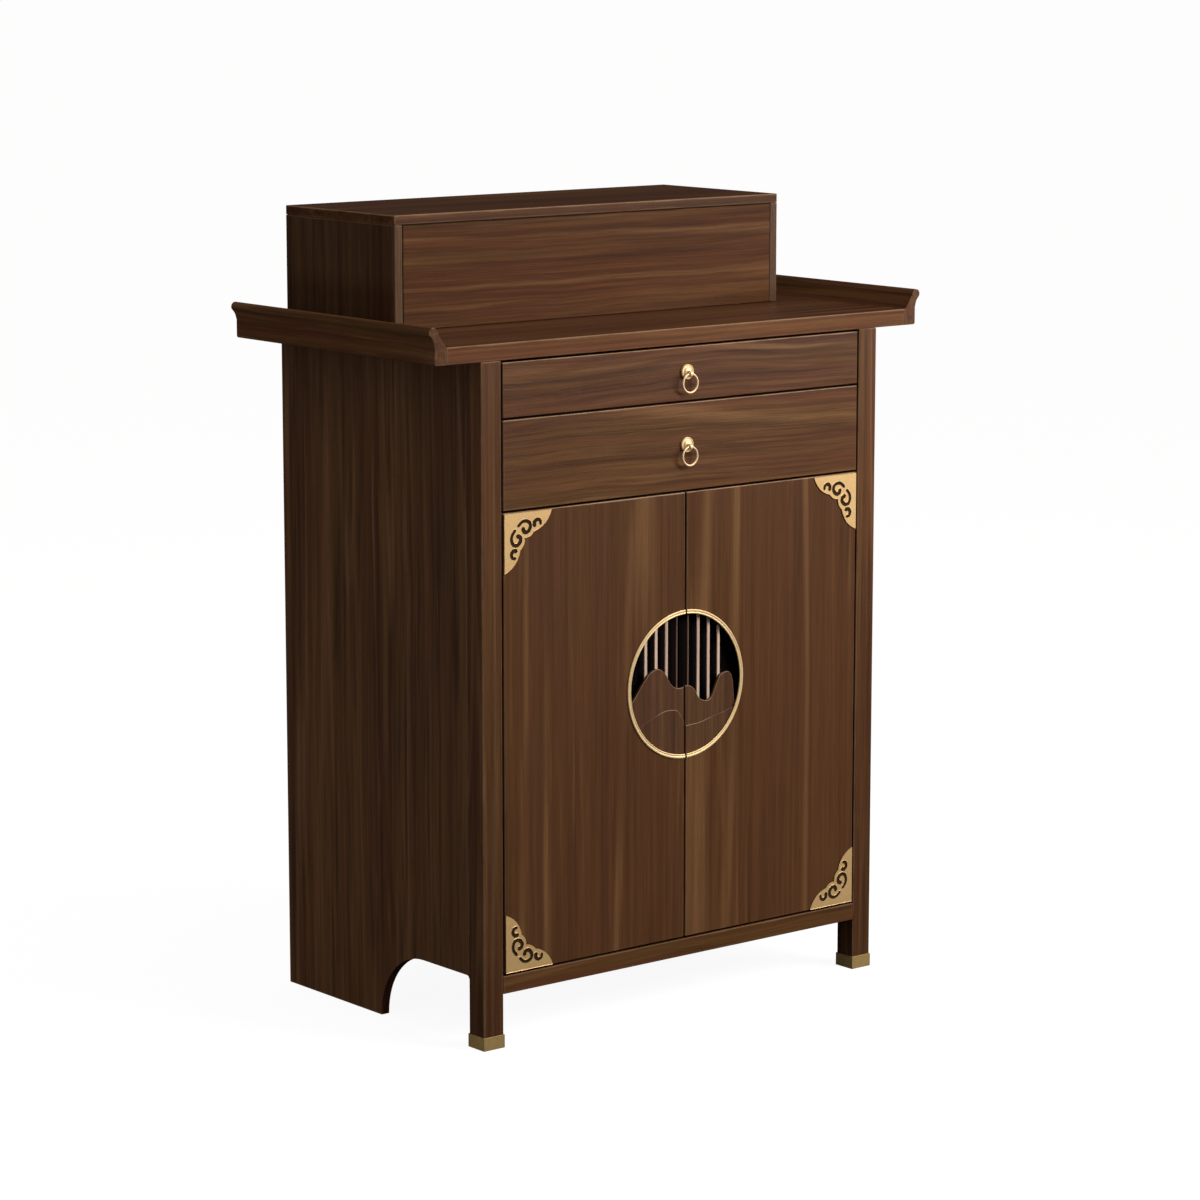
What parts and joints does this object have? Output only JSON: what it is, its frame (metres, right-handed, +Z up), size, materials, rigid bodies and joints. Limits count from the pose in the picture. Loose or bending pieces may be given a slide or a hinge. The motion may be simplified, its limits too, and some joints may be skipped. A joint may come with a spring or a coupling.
{
  "type": "household altar cabinet",
  "caption": "Walnut household altar cabinet: upturned tabletop with a low riser, drawers with ring pulls, doors with a round mountain window and pierced brass corners.",
  "frame": {"origin": "on the floor, in the middle of the cabinet's overall footprint, ring pulls included", "axes": "+Z up, the doors and drawers face -Y, +X to the viewer's right when facing them"},
  "size_m": [0.8188, 0.4414, 1.043],
  "materials": {
    "walnut_front": "satin",
    "walnut_carcass": "satin",
    "walnut_top": "satin",
    "drawer_wood": "matte",
    "brass": "satin",
    "blackened_wood": "matte",
    "pale_slat": "satin"
  },
  "bodies": {
    "cabinet": {"side_panel_left": "walnut_carcass", "side_panel_right": "walnut_carcass", "front_post_left": "walnut_carcass", "front_post_right": "walnut_carcass", "foot_cap_left": "brass", "foot_cap_right": "brass", "bottom_rail": "walnut_carcass", "back_panel": "walnut_carcass", "cupboard_floor": "walnut_carcass", "cupboard_ceiling": "walnut_carcass", "drawer_divider": "walnut_carcass", "tabletop": "walnut_top", "end_moulding_left": "walnut_front", "end_moulding_right": "walnut_front", "riser_top": "walnut_top", "riser_side_left": "walnut_carcass", "riser_side_right": "walnut_carcass", "riser_front": "walnut_carcass", "riser_back": "walnut_carcass", "hinge_left_lower": "brass", "hinge_left_upper": "brass", "hinge_right_lower": "brass", "hinge_right_upper": "brass"},
    "upper_drawer": {"upper_drawer_front": "walnut_front", "upper_drawer_bottom": "drawer_wood", "upper_drawer_side_left": "drawer_wood", "upper_drawer_side_right": "drawer_wood", "upper_drawer_back": "drawer_wood", "upper_rosette": "brass"},
    "lower_drawer": {"lower_drawer_front": "walnut_front", "lower_drawer_bottom": "drawer_wood", "lower_drawer_side_left": "drawer_wood", "lower_drawer_side_right": "drawer_wood", "lower_drawer_back": "drawer_wood", "lower_rosette": "brass"},
    "upper_pull": {"upper_pull_ring": "brass"},
    "lower_pull": {"lower_pull_ring": "brass"},
    "left_door": {"door_board_left": "walnut_front", "window_tray_left": "blackened_wood", "mountain_relief_left": "walnut_front", "window_slat_left_1": "pale_slat", "window_slat_left_2": "pale_slat", "window_slat_left_3": "pale_slat", "window_slat_left_4": "pale_slat", "window_ring_left": "brass", "corner_plate_left_lower": "brass", "corner_plate_left_upper": "brass"},
    "right_door": {"door_board_right": "walnut_front", "window_tray_right": "blackened_wood", "mountain_relief_right": "walnut_front", "window_slat_right_1": "pale_slat", "window_slat_right_2": "pale_slat", "window_slat_right_3": "pale_slat", "window_slat_right_4": "pale_slat", "window_ring_right": "brass", "corner_plate_right_lower": "brass", "corner_plate_right_upper": "brass"}
  },
  "joints": [
    {"name": "upper_drawer_slide", "type": "slide", "parent": "cabinet", "child": "upper_drawer", "axis": [0, -1, 0], "range_m": [0, 0.3]},
    {"name": "lower_drawer_slide", "type": "slide", "parent": "cabinet", "child": "lower_drawer", "axis": [0, -1, 0], "range_m": [0, 0.3]},
    {"name": "upper_pull_swing", "type": "hinge", "parent": "upper_drawer", "child": "upper_pull", "pos_m": [0, -0.2169, 0.8377], "axis": [-1, 0, 0], "range_deg": [-10, 150]},
    {"name": "lower_pull_swing", "type": "hinge", "parent": "lower_drawer", "child": "lower_pull", "pos_m": [0, -0.2169, 0.7437], "axis": [-1, 0, 0], "range_deg": [-10, 150]},
    {"name": "left_door_swing", "type": "hinge", "parent": "cabinet", "child": "left_door", "pos_m": [-0.279, -0.2003, 0.0954], "axis": [0, 0, -1], "range_deg": [0, 95]},
    {"name": "right_door_swing", "type": "hinge", "parent": "cabinet", "child": "right_door", "pos_m": [0.279, -0.2003, 0.0954], "axis": [0, 0, 1], "range_deg": [0, 95]}
  ]
}
